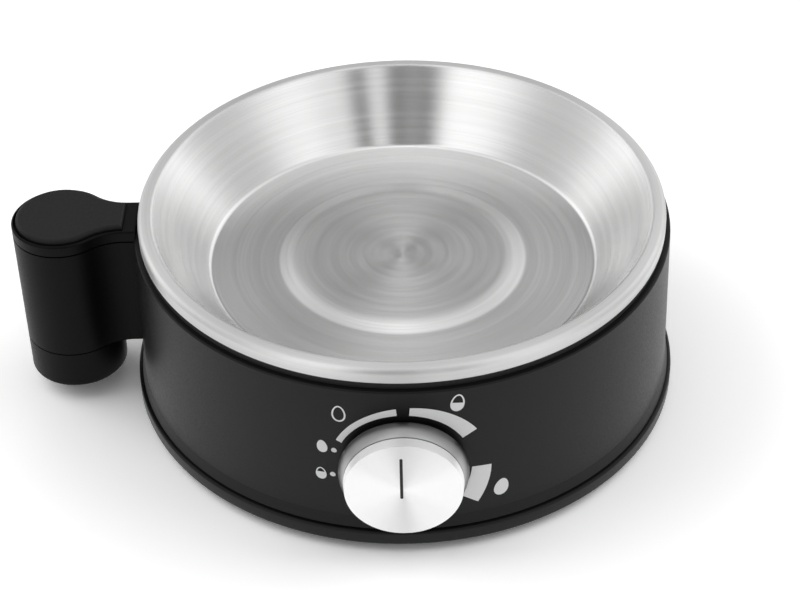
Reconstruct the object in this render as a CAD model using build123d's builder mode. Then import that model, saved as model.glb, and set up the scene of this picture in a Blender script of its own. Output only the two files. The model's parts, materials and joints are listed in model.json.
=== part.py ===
"""Base unit of an electric egg cooker: housing, heated water tray, hardness dial and carrying grip.

Millimetres. The tray's axis is Z, the floor that the feet stand on is z = 0, the dial faces -Y and the
grip is at -X.
"""

import os
from math import cos, pi, radians, sin, sqrt, tan

from build123d import *

os.makedirs("parts", exist_ok=True)

# Driving sizes: feet, base and housing
foot_height = 3.0
foot_radius = 7.0
foot_stem_radius = 2.4
foot_head_radius = 3.4
foot_head_height = 2.2
foot_edge_round = 0.6
foot_circle_inset = 21.0
foot_count = 4
base_step = 2.2
base_edge_round = 0.8
base_height = 4.9
cover_floor = 2.4
cover_pad_height = 1.6
seam_gap = 0.5
housing_height = 60.5
housing_flare = 1.0
housing_flare_height = 3.6
housing_draft = 1.1
housing_wall = 2.2
housing_edge_round = 0.5
shelf_thickness = 2.0
shelf_width = 7.0
post_radius = 4.0
post_height = 21.0
post_roof = 3.0
post_merge = 0.6
post_count = 4
vent_count = 6
vent_length = 22.0
vent_width = 2.6
vent_circle_inset = 51.1

# Driving sizes: water tray and its seal
rim_radius = 82.4
rim_inset = 1.6
rim_above_housing = 6.9
rim_skirt_height = 4.7
rim_width = 4.2
rim_fall = 0.35
rim_outer_round = 1.7
rim_inner_round = 1.2
tray_depth = 22.1
tray_sheet = 1.0
tray_floor_inset = 21.0
tray_corner_round = 2.0
step_outer_inset = 22.1
step_inner_inset = 27.6
step_rise = 0.8
step_round = 3.0
seal_inset = 0.3
seal_width = 2.8
seal_upstand = 1.8

# Driving sizes: heater under the tray
spreader_thickness = 3.0
spreader_margin = 6.4
spreader_boss_radius = 5.0
spreader_boss_height = 5.0
element_tube_radius = 3.3
element_flat_depth = 0.5
element_margin = 17.0
element_gap_angle = 60.0
bead_radius = 3.9
bead_length = 5.0
pin_radius = 1.2
pin_length = 5.0
bracket_thickness = 1.5
bracket_width = 12.0
bracket_stand_off = 2.4
bracket_angles = (90, 210, 330)
fuse_radius = 2.2
fuse_length = 14.0
fuse_place_y = 12.0
clip_thickness = 0.8
clip_width = 7.0
clip_foot = 5.0

# Driving sizes: hardness dial
knob_z = 31.5
knob_base_radius = 19.2
knob_taper = 1.5
knob_bulge = 0.38
knob_wall = 1.5
knob_skirt_length = 4.7
knob_front_wall = 1.8
knob_hub_radius = 6.0
knob_wall_gap = 0.3
cap_inset = 0.1
cap_taper = 0.3
cap_thickness = 3.4
cap_seam_width = 0.5
cap_seam_height = 0.35
cap_edge_round = 0.15
pointer_width = 0.9
pointer_top = 12.4
pointer_bottom = 3.35
pointer_side = 0.6
pointer_depth = 0.35
pointer_recess = 0.05
turn_to_soft = 100.0
turn_to_hard = 126.0

# Driving sizes: control behind the dial
shaft_radius = 3.0
shaft_flat = 0.8
shaft_end_in_cap = 1.0
bush_radius = 4.8
bush_stand_out = 3.0
nut_across_flats = 12.0
nut_thickness = 2.0
spot_inset = 6.2
spot_depth = 1.6
control_web = 3.0
control_pad_margin = 3.0
plate_thickness = 1.2
plate_width = 28.0
plate_height = 24.0
control_width = 26.0
control_below_axis = 11.0
control_headroom = 1.8
collar_radius = 5.8
collar_hub_radius = 4.3
collar_thickness = 2.4
collar_half_angle = 10.0
stop_margin_angle = 1.0
adjuster_radius = 2.0
adjuster_flat = 0.6
adjuster_length = 12.5
adjuster_lead = 3.0
adjuster_stand_out = 1.5
strap_width = 10.0
strap_thickness = 1.5
strap_contact = 5.0
strap_drop = 5.0
blade_width = 6.3
blade_thickness = 0.8
blade_length = 8.0
blade_spacing = 17.0
blade_below_axis = 4.5

# Driving sizes: mains connection at the back
gland_above_spigot = 1.0
gland_bore_radius = 3.6
gland_inner_bore_radius = 4.2
gland_bore_step = 1.0
gland_tube_radius = 5.4
gland_flange_radius = 7.5
gland_flange_thickness = 2.5
gland_tail_length = 5.0
gland_tail_radius = 5.2
gland_tail_round = 1.0
gland_inside_length = 9.0
gland_spot_depth = 0.6
gland_nut_across_flats = 15.0
gland_nut_thickness = 3.5
gland_pad_radius = 11.0
gland_pad_web = 0.5
block_length = 36.0
block_depth = 14.0
block_height = 13.0
block_post_height = 4.0
block_post_radius = 3.0
block_inset = 17.4
block_pitch = 11.5
barrel_radius = 2.5
barrel_bore_radius = 1.6
lead_radius = 1.3
lead_insertion = 4.0
lead_straight = 8.0
lead_bend_share = 0.45
lead_turn = 6.0

# Driving sizes: grip at the side
grip_radius = 15.5
grip_gap = 6.5
grip_line_y = -1.2
grip_wall = 2.2
grip_bottom_z = 6.0
grip_foot_top_z = 19.8
grip_blend_round = 16.0
neck_half_width = 8.05
grip_top_thickness = 3.7
grip_above_housing = 2.5
grip_top_reach = 0.5
grip_edge_round = 0.7
grip_plug_height = 3.3
grip_foot_round = 1.5
grip_foot_groove = 0.4
grip_seam_groove = 0.5
pocket_margin = 0.6
pocket_depth = 2.0
inlay_margin = 1.4
inlay_rise = 1.3
inlay_end = 4.0
grip_pad_half_width = 9.0
grip_pad_margin = 6.0
grip_pad_flat = 1.8
grip_screw_low = 12.0
grip_screw_high = 30.0
grip_screw_reach = 10.5
grip_boss_radius = 4.5
grip_foot_boss_radius = 5.5
grip_boss_height = 12.0
grip_screw_sink = 4.0
grip_screw_end = 1.0
grip_foot_screw_end = 3.0
grip_inlay_round = 1.2

# Driving sizes: fasteners and fits
screw_radius = 2.0
screw_head_radius = 3.5
screw_head_height = 2.2
recess_length = 4.0
recess_width = 0.9
recess_depth = 1.2
thread_gap = 0.05
clearance_hole_gap = 0.25
counterbore_gap = 0.3
running_gap = 0.05
sliding_gap = 0.08
seat_gap = 0.1
side_gap = 0.2
end_gap = 0.3
part_gap = 0.5
cut_over = 2.0

# Heights of the main levels
base_top_z = foot_height + base_height
cover_floor_z = foot_height + cover_floor
cover_pad_z = cover_floor_z + cover_pad_height
housing_bottom_z = base_top_z + seam_gap
housing_flare_z = housing_bottom_z + housing_flare_height
housing_top_z = housing_height
shelf_z = housing_top_z - shelf_thickness
rim_top_z = housing_top_z + rim_above_housing
rim_bottom_z = rim_top_z - rim_skirt_height
tray_floor_z = rim_top_z - tray_depth
tray_under_z = tray_floor_z - tray_sheet
spreader_under_z = tray_under_z - spreader_thickness
boss_under_z = spreader_under_z - spreader_boss_height
bracket_under_z = boss_under_z - bracket_thickness

gland_z = housing_flare_z + gland_pad_radius + gland_above_spigot
grip_top_z = housing_top_z + grip_above_housing

# Radii that follow from the rim
housing_top_radius = rim_radius + rim_inset
housing_low_radius = housing_top_radius + housing_draft
housing_flare_radius = housing_low_radius + housing_flare
base_radius = housing_low_radius + base_step
foot_circle_radius = housing_low_radius - foot_circle_inset
shelf_inner_radius = housing_top_radius - shelf_width
housing_inner_radius = housing_top_radius - housing_wall
post_circle_radius = housing_low_radius - housing_wall - post_radius + post_merge
vent_circle_radius = housing_low_radius - vent_circle_inset
tray_floor_radius = rim_radius - tray_floor_inset
step_outer_radius = tray_floor_radius - step_outer_inset
step_inner_radius = tray_floor_radius - step_inner_inset
spreader_radius = tray_floor_radius - spreader_margin
spreader_boss_circle = spreader_radius - spreader_boss_radius - part_gap
element_radius = spreader_radius - element_margin
bracket_outer_radius = housing_inner_radius - bracket_stand_off


def wall_radius(z):
    """Outer radius of the housing's straight wall at a height."""
    share = (housing_top_z - z) / (housing_top_z - housing_flare_z)
    return housing_top_radius + housing_draft * share


# Dial: radii that follow from the knob, and distances from the tray's axis along the dial's axis
knob_front_radius = knob_base_radius - knob_taper
knob_middle_radius = (knob_base_radius + knob_front_radius) / 2 + knob_bulge
cap_radius = knob_front_radius - cap_inset
spot_radius = knob_base_radius - spot_inset
control_pad_radius = spot_radius + control_pad_margin
knob_base_distance = wall_radius(knob_z - knob_base_radius) + knob_wall_gap
knob_front_distance = knob_base_distance + knob_skirt_length
cap_front_distance = knob_front_distance + cap_thickness
spot_distance = wall_radius(knob_z) - spot_depth
control_pad_distance = spot_distance - control_web
plate_distance = control_pad_distance - plate_thickness
control_rear_distance = tray_floor_radius + tray_sheet + part_gap
control_top_z = tray_under_z - control_headroom
control_bottom_z = knob_z - control_below_axis
shaft_front_distance = knob_front_distance + shaft_end_in_cap
collar_chamber_depth = collar_thickness + 2 * end_gap
adjuster_rear_distance = control_rear_distance - adjuster_stand_out
adjuster_front_distance = adjuster_rear_distance + adjuster_length
shaft_rear_distance = control_rear_distance + (plate_distance - control_rear_distance) / 2
bush_front_distance = spot_distance + bush_stand_out

# Distances from the tray's axis along the gland's axis
gland_spot_distance = wall_radius(gland_z) - gland_spot_depth
gland_pad_sag = gland_pad_radius**2 / 2 / wall_radius(gland_z)
gland_pad_distance = wall_radius(gland_z) - housing_wall - gland_pad_sag - gland_pad_web
gland_inner_distance = gland_pad_distance - gland_inside_length
gland_step_distance = gland_spot_distance + gland_bore_step
gland_outer_distance = gland_spot_distance + gland_flange_thickness + gland_tail_length
block_y = gland_inner_distance - block_inset - block_depth / 2

# Places of the grip
grip_centre_x = -(housing_low_radius + grip_gap + grip_radius)
grip_pad_x = -(housing_inner_radius - grip_pad_flat)
grip_seam_z = grip_top_z - grip_top_thickness
grip_screw_heights = (grip_foot_top_z + grip_screw_low, grip_foot_top_z + grip_screw_high)


def front_plane(distance):
    """Plane square to the dial's axis: local X to the right, local Y up, facing the user."""
    return Plane(origin=(0, -distance, knob_z), x_dir=(1, 0, 0), z_dir=(0, -1, 0))


def back_plane(distance):
    """Plane square to the gland's axis, facing away behind the cooker."""
    return Plane(origin=(0, distance, gland_z), x_dir=(-1, 0, 0), z_dir=(0, 1, 0))


def side_plane(x):
    """Plane square to the X axis: local X along +Y, local Y up, facing +X."""
    return Plane(origin=(x, 0, 0), x_dir=(0, 1, 0), z_dir=(1, 0, 0))


dial_axis = Axis((0, 0, knob_z), (0, -1, 0))
dial_section = Plane(origin=(0, 0, knob_z), x_dir=(1, 0, 0), z_dir=(0, 0, -1))


def finish(builder, name):
    """Label a finished piece and write its STEP file."""
    builder.part.label = name
    export_step(builder.part, f"parts/{name}.step")


def clock_sector(radius, start, end, steps=6):
    """Points of a sector about the dial's axis, with angles clockwise from the top."""
    angles = [start + (end - start) * i / steps for i in range(steps + 1)]
    return [(0, 0)] + [(radius * sin(radians(a)), radius * cos(radians(a))) for a in angles]


# Bottom cover with the base flange, screw pads, foot holes and vents
post_spots = PolarLocations(post_circle_radius, post_count, start_angle=45)
foot_spots = PolarLocations(foot_circle_radius, foot_count, start_angle=45)
spigot_outer = housing_low_radius - housing_wall - side_gap
spigot_inner = spigot_outer - housing_wall
spigot_top_z = housing_flare_z

with BuildPart() as bottom_cover:
    with BuildSketch(Plane.XZ):
        with BuildLine():
            Polyline(
                (0, foot_height),
                (base_radius, foot_height),
                (base_radius, base_top_z),
                (spigot_outer, base_top_z),
                (spigot_outer, spigot_top_z),
                (spigot_inner, spigot_top_z),
                (spigot_inner, cover_floor_z),
                (0, cover_floor_z),
                close=True,
            )
        make_face()
        fillet(vertices().group_by(Axis.X)[-1], radius=base_edge_round)
    revolve(axis=Axis.Z)
    with BuildSketch(Plane.XY.offset(cover_pad_z)):
        with post_spots:
            Circle(post_radius + end_gap)
    extrude(amount=spigot_top_z - cover_pad_z + cut_over, mode=Mode.SUBTRACT)
    with BuildSketch(Plane.XY.offset(foot_height)):
        with post_spots:
            Circle(post_radius + end_gap)
    extrude(amount=cover_pad_z - foot_height)
    with BuildSketch(Plane.XY.offset(foot_height)):
        with post_spots:
            Circle(screw_radius + clearance_hole_gap)
    extrude(amount=cover_pad_z - foot_height, mode=Mode.SUBTRACT)
    with BuildSketch(Plane.XY.offset(foot_height)):
        with post_spots:
            Circle(screw_head_radius + counterbore_gap)
    extrude(amount=screw_head_height, mode=Mode.SUBTRACT)
    with BuildSketch(Plane.XY.offset(foot_height)):
        with foot_spots:
            Circle(foot_stem_radius + seat_gap)
        with PolarLocations(vent_circle_radius, vent_count, start_angle=30):
            SlotOverall(vent_length, vent_width)
    extrude(amount=cover_floor, mode=Mode.SUBTRACT)
    with BuildSketch(Plane.XY.offset(cover_floor_z)):
        with Locations((-block_pitch, block_y), (block_pitch, block_y)):
            Circle(block_post_radius)
    extrude(amount=block_post_height)
finish(bottom_cover, "bottom_cover")

# Push-in feet: a pad, a stem through the cover and a head behind it
with BuildPart() as rubber_feet:
    with foot_spots:
        Cylinder(foot_radius, foot_height, align=(Align.CENTER, Align.CENTER, Align.MIN))
    with BuildSketch(Plane.XY.offset(foot_height)):
        with foot_spots:
            Circle(foot_stem_radius)
    extrude(amount=cover_floor)
    with BuildSketch(Plane.XY.offset(cover_floor_z)):
        with foot_spots:
            Circle(foot_head_radius)
    extrude(amount=foot_head_height)
    fillet(edges().group_by(Axis.Z)[0], radius=foot_edge_round)
finish(rubber_feet, "rubber_feet")

# What the housing's wall is cut from: the space inside, less the pads that stay on the wall
with BuildPart() as housing_space:
    with BuildSketch(Plane.XZ):
        with BuildLine():
            Polyline(
                (0, housing_bottom_z - cut_over),
                (housing_flare_radius - housing_wall, housing_bottom_z - cut_over),
                (housing_flare_radius - housing_wall, housing_bottom_z),
                (housing_low_radius - housing_wall, housing_flare_z),
                (housing_inner_radius, shelf_z),
                (shelf_inner_radius, shelf_z),
                (shelf_inner_radius, housing_top_z + cut_over),
                (0, housing_top_z + cut_over),
                close=True,
            )
        make_face()
    revolve(axis=Axis.Z)
    with BuildSketch(front_plane(control_pad_distance)):
        Circle(control_pad_radius)
    extrude(amount=housing_flare_radius - control_pad_distance, mode=Mode.SUBTRACT)
    with BuildSketch(back_plane(gland_pad_distance)):
        Circle(gland_pad_radius)
    extrude(amount=housing_flare_radius - gland_pad_distance, mode=Mode.SUBTRACT)
    with BuildSketch(side_plane(grip_pad_x)):
        with Locations((grip_line_y, sum(grip_screw_heights) / 2)):
            Rectangle(2 * grip_pad_half_width, grip_screw_high - grip_screw_low + 2 * grip_pad_margin)
    extrude(amount=grip_pad_x + housing_flare_radius, mode=Mode.SUBTRACT, dir=(-1, 0, 0))

# Outer envelope of the housing, also used to trim what meets the wall from outside
with BuildPart() as housing_envelope:
    with BuildSketch(Plane.XZ):
        with BuildLine():
            Polyline(
                (0, housing_bottom_z),
                (housing_flare_radius, housing_bottom_z),
                (housing_low_radius, housing_flare_z),
                (housing_top_radius, housing_top_z),
                (0, housing_top_z),
                close=True,
            )
        make_face()
        top_corner = vertices().sort_by_distance((housing_top_radius, housing_top_z))[0]
        fillet(top_corner, radius=housing_edge_round)
    revolve(axis=Axis.Z)

# Housing: drafted wall, tray shelf, pads for dial, gland and grip, and the cover's screw posts
with BuildPart() as housing:
    add(housing_envelope.part)
    add(housing_space.part, mode=Mode.SUBTRACT)
    with BuildSketch(Plane.XY.offset(cover_pad_z)):
        with post_spots:
            Circle(post_radius)
    extrude(amount=post_height)
    with BuildSketch(Plane.XY.offset(cover_pad_z)):
        with post_spots:
            Circle(screw_radius + thread_gap)
    extrude(amount=post_height - post_roof, mode=Mode.SUBTRACT)
    with BuildSketch(front_plane(spot_distance)):
        Circle(spot_radius)
    extrude(amount=spot_depth + cut_over, mode=Mode.SUBTRACT)
    with BuildSketch(front_plane(control_pad_distance)):
        Circle(bush_radius + clearance_hole_gap)
    extrude(amount=control_web, mode=Mode.SUBTRACT)
    with BuildSketch(back_plane(gland_spot_distance)):
        Circle(gland_flange_radius + end_gap)
    extrude(amount=gland_spot_depth + cut_over, mode=Mode.SUBTRACT)
    with BuildSketch(back_plane(gland_pad_distance)):
        Circle(gland_tube_radius + seat_gap)
    extrude(amount=gland_spot_distance - gland_pad_distance, mode=Mode.SUBTRACT)
    with BuildSketch(side_plane(grip_pad_x)):
        with Locations(*[(grip_line_y, z) for z in grip_screw_heights]):
            Circle(screw_radius + clearance_hole_gap)
    extrude(amount=grip_pad_x + housing_flare_radius, mode=Mode.SUBTRACT, dir=(-1, 0, 0))
finish(housing, "housing")

# Cover screws: heads in the cover's counterbores, shanks up the posts
with BuildPart() as cover_screws:
    with BuildSketch(Plane.XY.offset(foot_height)):
        with post_spots:
            Circle(screw_head_radius)
    extrude(amount=screw_head_height)
    with BuildSketch(Plane.XY.offset(foot_height + screw_head_height)):
        with post_spots:
            Circle(screw_radius)
    extrude(amount=post_height / 2 + cover_pad_z - foot_height - screw_head_height)
    with BuildSketch(Plane.XY.offset(foot_height)):
        with post_spots:
            Rectangle(recess_length, recess_width)
            Rectangle(recess_width, recess_length)
    extrude(amount=recess_depth, mode=Mode.SUBTRACT)
finish(cover_screws, "cover_screws")

# Water tray: one pressed sheet with a raised middle, a sloped wall and a rolled rim
rim_corner_radius = rim_radius - rim_width
rim_inside_radius = rim_radius - tray_sheet
wall_slope = tray_depth / (rim_corner_radius - tray_floor_radius)
wall_shift = tray_sheet * sqrt(1 + 1 / wall_slope**2)


def cone_under_radius(z):
    """Radius of the sloped wall's underside at a height."""
    return tray_floor_radius + (z - tray_floor_z) / wall_slope + wall_shift


def rim_height(radius):
    """Height of the rim's top, which falls a little towards its edge."""
    return rim_top_z - rim_fall * (radius - rim_corner_radius) / rim_width


rim_under_z = rim_height(cone_under_radius(rim_top_z - tray_sheet)) - tray_sheet
with BuildPart() as water_tray:
    with BuildSketch(Plane.XZ):
        with BuildLine():
            FilletPolyline(
                (0, tray_floor_z + step_rise),
                (step_inner_radius, tray_floor_z + step_rise),
                (step_outer_radius, tray_floor_z),
                (tray_floor_radius, tray_floor_z),
                (rim_corner_radius, rim_top_z),
                (rim_radius, rim_height(rim_radius)),
                (rim_radius, rim_bottom_z),
                radius=[step_round, step_round, tray_corner_round, rim_inner_round, rim_outer_round],
            )
            Line((rim_radius, rim_bottom_z), (rim_inside_radius, rim_bottom_z))
            FilletPolyline(
                (rim_inside_radius, rim_bottom_z),
                (rim_inside_radius, rim_height(rim_inside_radius) - tray_sheet),
                (cone_under_radius(rim_under_z), rim_under_z),
                (cone_under_radius(tray_under_z), tray_under_z),
                (step_outer_radius, tray_under_z),
                (step_inner_radius, tray_under_z + step_rise),
                (0, tray_under_z + step_rise),
                radius=[
                    rim_outer_round - tray_sheet,
                    rim_inner_round - tray_sheet,
                    tray_corner_round + tray_sheet,
                    step_round,
                    step_round,
                ],
            )
            Line((0, tray_under_z + step_rise), (0, tray_floor_z + step_rise))
        make_face()
    revolve(axis=Axis.Z)
finish(water_tray, "water_tray")

# Seal under the tray's skirt, with an upstand that centres the tray
seal_outer = rim_radius - seal_inset
seal_inner = seal_outer - seal_width
seal_upstand_radius = rim_inside_radius - side_gap
with BuildPart() as tray_seal:
    with BuildSketch(Plane.XZ):
        with BuildLine():
            Polyline(
                (seal_inner, housing_top_z),
                (seal_outer, housing_top_z),
                (seal_outer, rim_bottom_z),
                (seal_upstand_radius, rim_bottom_z),
                (seal_upstand_radius, rim_bottom_z + seal_upstand),
                (seal_inner, rim_bottom_z + seal_upstand),
                close=True,
            )
        make_face()
    revolve(axis=Axis.Z)
finish(tray_seal, "tray_seal")

# Aluminium spreader brazed under the tray, with three bosses for the clamping brackets
boss_spots = PolarLocations(spreader_boss_circle, len(bracket_angles), start_angle=bracket_angles[0])
with BuildPart() as heat_spreader:
    with BuildSketch(Plane.XY.offset(spreader_under_z)):
        Circle(spreader_radius)
    extrude(amount=spreader_thickness)
    with BuildSketch(Plane.XY.offset(boss_under_z)):
        with boss_spots:
            Circle(spreader_boss_radius)
    extrude(amount=spreader_boss_height)
    with BuildSketch(Plane.XY.offset(boss_under_z)):
        with boss_spots:
            Circle(screw_radius + thread_gap)
    extrude(amount=spreader_boss_height + spreader_thickness / 2, mode=Mode.SUBTRACT)
finish(heat_spreader, "heat_spreader")

# Tubular element: an open ring flattened where it is brazed to the spreader
element_z = spreader_under_z - element_tube_radius + element_flat_depth
element_start = 270 + element_gap_angle / 2
element_turn = 360 - element_gap_angle
element_plane = Plane(
    origin=(0, 0, 0),
    x_dir=(cos(radians(element_start)), sin(radians(element_start)), 0),
    z_dir=(sin(radians(element_start)), -cos(radians(element_start)), 0),
)
with BuildPart() as heating_element:
    with BuildSketch(element_plane):
        with Locations((element_radius, element_z)):
            Circle(element_tube_radius)
        with Locations((element_radius, spreader_under_z + element_tube_radius)):
            Rectangle(4 * element_tube_radius, 2 * element_tube_radius, mode=Mode.SUBTRACT)
    revolve(axis=Axis.Z, revolution_arc=element_turn)
finish(heating_element, "heating_element")

# Ceramic beads on the element's ends and the cold pins that leave them
element_ends = []
for angle, turn in ((270 + element_gap_angle / 2, -1), (270 - element_gap_angle / 2, 1)):
    radial = Vector(cos(radians(angle)), sin(radians(angle)), 0)
    along = Vector(-sin(radians(angle)), cos(radians(angle)), 0) * turn
    end_centre = radial * element_radius + Vector(0, 0, element_z)
    element_ends.append(Plane(origin=end_centre, x_dir=(0, 0, 1), z_dir=along))

with BuildPart() as element_beads:
    for end in element_ends:
        with BuildSketch(end):
            Circle(bead_radius)
            with Locations((bead_radius + element_tube_radius - element_flat_depth, 0)):
                Rectangle(2 * bead_radius, 2 * bead_radius, mode=Mode.SUBTRACT)
        extrude(amount=bead_length)
finish(element_beads, "element_beads")

with BuildPart() as element_pins:
    for end in element_ends:
        with BuildSketch(end.offset(bead_length)):
            Circle(pin_radius)
        extrude(amount=pin_length)
finish(element_pins, "element_pins")

# Brackets that brace under the tray shelf and pull the tray down on its seal
with BuildPart() as tray_brackets:
    for angle in bracket_angles:
        bracket_plane = Plane(
            origin=(0, 0, 0),
            x_dir=(cos(radians(angle)), sin(radians(angle)), 0),
            z_dir=(sin(radians(angle)), -cos(radians(angle)), 0),
        )
        with BuildSketch(bracket_plane):
            with BuildLine():
                Polyline(
                    (spreader_boss_circle - spreader_boss_radius, bracket_under_z),
                    (bracket_outer_radius, bracket_under_z),
                    (bracket_outer_radius, shelf_z),
                    (bracket_outer_radius - bracket_thickness, shelf_z),
                    (bracket_outer_radius - bracket_thickness, boss_under_z),
                    (spreader_boss_circle - spreader_boss_radius, boss_under_z),
                    close=True,
                )
            make_face()
        extrude(amount=bracket_width / 2, both=True)
    with BuildSketch(Plane.XY.offset(bracket_under_z)):
        with boss_spots:
            Circle(screw_radius + clearance_hole_gap)
    extrude(amount=bracket_thickness, mode=Mode.SUBTRACT)
finish(tray_brackets, "tray_brackets")

with BuildPart() as bracket_screws:
    with BuildSketch(Plane.XY.offset(bracket_under_z - screw_head_height)):
        with boss_spots:
            Circle(screw_head_radius)
    extrude(amount=screw_head_height)
    with BuildSketch(Plane.XY.offset(bracket_under_z)):
        with boss_spots:
            Circle(screw_radius)
    extrude(amount=bracket_thickness + spreader_boss_height)
finish(bracket_screws, "bracket_screws")

# Thermal fuse under the spreader's middle, held by a strip clip
fuse_z = spreader_under_z - clip_thickness - fuse_radius
with BuildPart() as thermal_fuse:
    with BuildSketch(side_plane(-fuse_length / 2)):
        with Locations((fuse_place_y, fuse_z)):
            Circle(fuse_radius)
    extrude(amount=fuse_length)
finish(thermal_fuse, "thermal_fuse")

clip_half = fuse_radius + clip_thickness
with BuildPart() as fuse_clip:
    with BuildSketch(side_plane(-clip_width / 2)):
        with Locations((fuse_place_y, fuse_z)):
            Circle(clip_half)
        with Locations((fuse_place_y, fuse_z + clip_half / 2)):
            Rectangle(2 * clip_half, clip_half)
        with Locations((fuse_place_y, fuse_z + clip_half - clip_thickness / 2)):
            Rectangle(2 * clip_half + 2 * clip_foot, clip_thickness)
        with Locations((fuse_place_y, fuse_z)):
            Circle(fuse_radius, mode=Mode.SUBTRACT)
    extrude(amount=clip_width)
finish(fuse_clip, "fuse_clip")

# Mounting plate of the control, seated on the housing's inner pad
with BuildPart() as control_plate:
    with BuildSketch(front_plane(plate_distance)):
        Rectangle(plate_width, plate_height)
        Circle(bush_radius + thread_gap, mode=Mode.SUBTRACT)
    extrude(amount=plate_thickness)
finish(control_plate, "control_plate")

# Control body: a block with a stop chamber in front, the shaft's bore and the adjuster's keyed hole
chamber_margin = collar_half_angle + stop_margin_angle
chamber_steps = 12
chamber_half_step = (turn_to_soft + turn_to_hard + 2 * chamber_margin) / chamber_steps / 2
with BuildPart() as control_body:
    with BuildSketch(front_plane(control_rear_distance)):
        with Locations((0, (control_top_z + control_bottom_z) / 2 - knob_z)):
            Rectangle(control_width, control_top_z - control_bottom_z)
    extrude(amount=plate_distance - control_rear_distance)
    with BuildSketch(front_plane(plate_distance)):
        Circle(collar_hub_radius + end_gap)
        with BuildLine():
            Polyline(
                clock_sector(
                    (collar_radius + end_gap) / cos(radians(chamber_half_step)),
                    -turn_to_soft - chamber_margin,
                    turn_to_hard + chamber_margin,
                    steps=chamber_steps,
                ),
                close=True,
            )
        make_face()
    extrude(amount=-collar_chamber_depth, mode=Mode.SUBTRACT)
    with BuildSketch(front_plane(shaft_rear_distance - adjuster_lead)):
        Circle(shaft_radius + running_gap)
    extrude(amount=plate_distance - shaft_rear_distance + adjuster_lead, mode=Mode.SUBTRACT)
    with BuildSketch(front_plane(control_rear_distance)):
        Circle(adjuster_radius + sliding_gap)
        with Locations((0, 2 * adjuster_radius - adjuster_flat + sliding_gap)):
            Rectangle(4 * adjuster_radius, 2 * adjuster_radius, mode=Mode.SUBTRACT)
    extrude(amount=shaft_rear_distance - control_rear_distance, mode=Mode.SUBTRACT)
finish(control_body, "control_body")

# Adjuster: a keyed pin that the turning shaft drives along its own axis
with BuildPart() as adjuster_pin:
    with BuildSketch(front_plane(adjuster_rear_distance)):
        Circle(adjuster_radius)
        with Locations((0, 2 * adjuster_radius - adjuster_flat)):
            Rectangle(4 * adjuster_radius, 2 * adjuster_radius, mode=Mode.SUBTRACT)
    extrude(amount=adjuster_length)
finish(adjuster_pin, "adjuster_pin")

# Bush through the housing's wall and the nut outside, both hidden by the knob
with BuildPart() as control_bush:
    with BuildSketch(front_plane(plate_distance)):
        Circle(bush_radius)
        Circle(shaft_radius + running_gap, mode=Mode.SUBTRACT)
    extrude(amount=bush_front_distance - plate_distance)
finish(control_bush, "control_bush")

with BuildPart() as control_nut:
    with BuildSketch(front_plane(spot_distance)):
        RegularPolygon(nut_across_flats / 2, 6, major_radius=False)
        Circle(bush_radius + thread_gap, mode=Mode.SUBTRACT)
    extrude(amount=nut_thickness)
finish(control_nut, "control_nut")

# Shaft: bored at the back for the adjuster, flattened at the front for the knob
with BuildPart() as control_shaft:
    with BuildSketch(front_plane(shaft_rear_distance)):
        Circle(shaft_radius)
    extrude(amount=shaft_front_distance - shaft_rear_distance)
    with BuildSketch(front_plane(shaft_rear_distance)):
        Circle(adjuster_radius + sliding_gap)
    extrude(amount=adjuster_front_distance + adjuster_lead - shaft_rear_distance, mode=Mode.SUBTRACT)
    with BuildSketch(front_plane(bush_front_distance)):
        with Locations((0, -2 * shaft_radius + shaft_flat)):
            Rectangle(4 * shaft_radius, 2 * shaft_radius)
    extrude(amount=shaft_front_distance - bush_front_distance, mode=Mode.SUBTRACT)
finish(control_shaft, "control_shaft")

# Stop collar on the shaft, with the finger that meets the chamber's ends
with BuildPart() as stop_collar:
    with BuildSketch(front_plane(plate_distance - end_gap)):
        Circle(collar_hub_radius)
        with BuildLine():
            Polyline(clock_sector(collar_radius, -collar_half_angle, collar_half_angle), close=True)
        make_face()
        Circle(shaft_radius, mode=Mode.SUBTRACT)
    extrude(amount=-collar_thickness)
finish(stop_collar, "stop_collar")

# Knob: a skirt whose flank curves in, with a keyed hub, a bright cap and the inlaid pointer
hub_back_distance = bush_front_distance + end_gap
inner_front_distance = knob_front_distance - knob_front_wall
with BuildPart() as knob_skirt:
    with BuildSketch(dial_section):
        with BuildLine():
            ThreePointArc(
                (knob_base_radius, knob_base_distance),
                (knob_middle_radius, (knob_base_distance + knob_front_distance) / 2),
                (knob_front_radius, knob_front_distance),
            )
            Polyline(
                (knob_front_radius, knob_front_distance),
                (0, knob_front_distance),
                (0, hub_back_distance),
                (knob_hub_radius, hub_back_distance),
                (knob_hub_radius, inner_front_distance),
                (knob_front_radius - knob_wall, inner_front_distance),
                (knob_base_radius - knob_wall, knob_base_distance),
                (knob_base_radius, knob_base_distance),
            )
        make_face()
    revolve(axis=dial_axis)
    with BuildSketch(front_plane(hub_back_distance)):
        Circle(shaft_radius + seat_gap)
        with Locations((0, -2 * shaft_radius + shaft_flat - seat_gap)):
            Rectangle(4 * shaft_radius, 2 * shaft_radius, mode=Mode.SUBTRACT)
    extrude(amount=knob_front_distance - hub_back_distance, mode=Mode.SUBTRACT)
finish(knob_skirt, "knob_skirt")

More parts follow.
